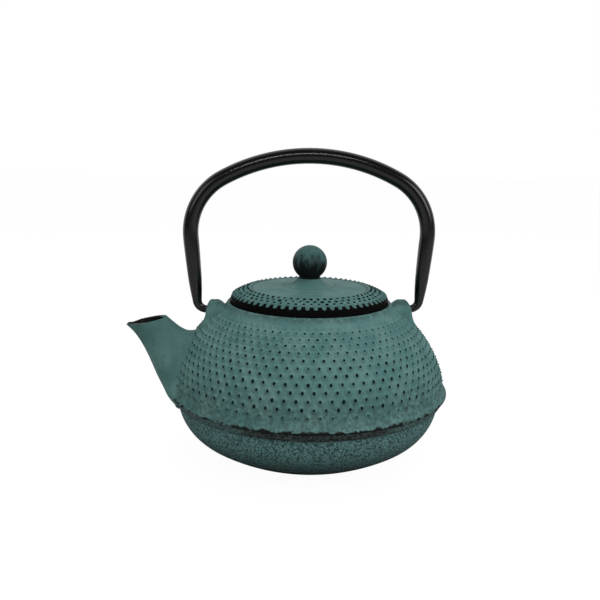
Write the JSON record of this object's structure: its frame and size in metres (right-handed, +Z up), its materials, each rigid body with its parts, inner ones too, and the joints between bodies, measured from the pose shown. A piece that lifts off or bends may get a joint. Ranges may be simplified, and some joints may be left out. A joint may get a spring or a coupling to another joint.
{
  "type": "cast iron teapot",
  "caption": "Round cast iron teapot with a short spout, belted belly, studded lid with a ball knob, swinging bail handle and a lift-out tea strainer.",
  "frame": {"origin": "centre of the foot ring's resting face", "axes": "+Z up along the pot's axis, spout towards -X, handle hinge axis along X, Y across the handle"},
  "size_m": [0.1727, 0.15, 0.1685],
  "materials": {
    "painted_casting": "matte teal paint over black iron, rubbed through on raised edges",
    "knob_casting": "black with teal brushed on top",
    "black_handle": "black semi-gloss lacquer",
    "fixing_steel": "plain",
    "strainer_steel": "satin stainless"
  },
  "bodies": {
    "pot": {"pot_body": "painted_casting"},
    "lid_set": {"lid": "painted_casting", "lid_knob": "knob_casting", "knob_screw": "fixing_steel", "knob_washer": "fixing_steel"},
    "handle": {"bail_handle": "black_handle"},
    "strainer": {"strainer_rim": "strainer_steel", "strainer_wall": "strainer_steel", "strainer_base": "strainer_steel"}
  },
  "joints": [
    {"name": "lid_lift", "type": "slide", "parent": "pot", "child": "lid_set", "axis": [0, 0, 1], "range_m": [0, 0.038]},
    {"name": "strainer_lift", "type": "slide", "parent": "pot", "child": "strainer", "axis": [0, 0, 1], "range_m": [0, 0.0335]},
    {"name": "handle_swing", "type": "hinge", "parent": "pot", "child": "handle", "pos_m": [0, 0, 0.0832], "axis": [1, 0, 0], "range_deg": [-105, 105]}
  ],
  "couplings": [
    {"joint": "strainer_lift", "follows": "lid_lift", "ratio": 0.88}
  ]
}
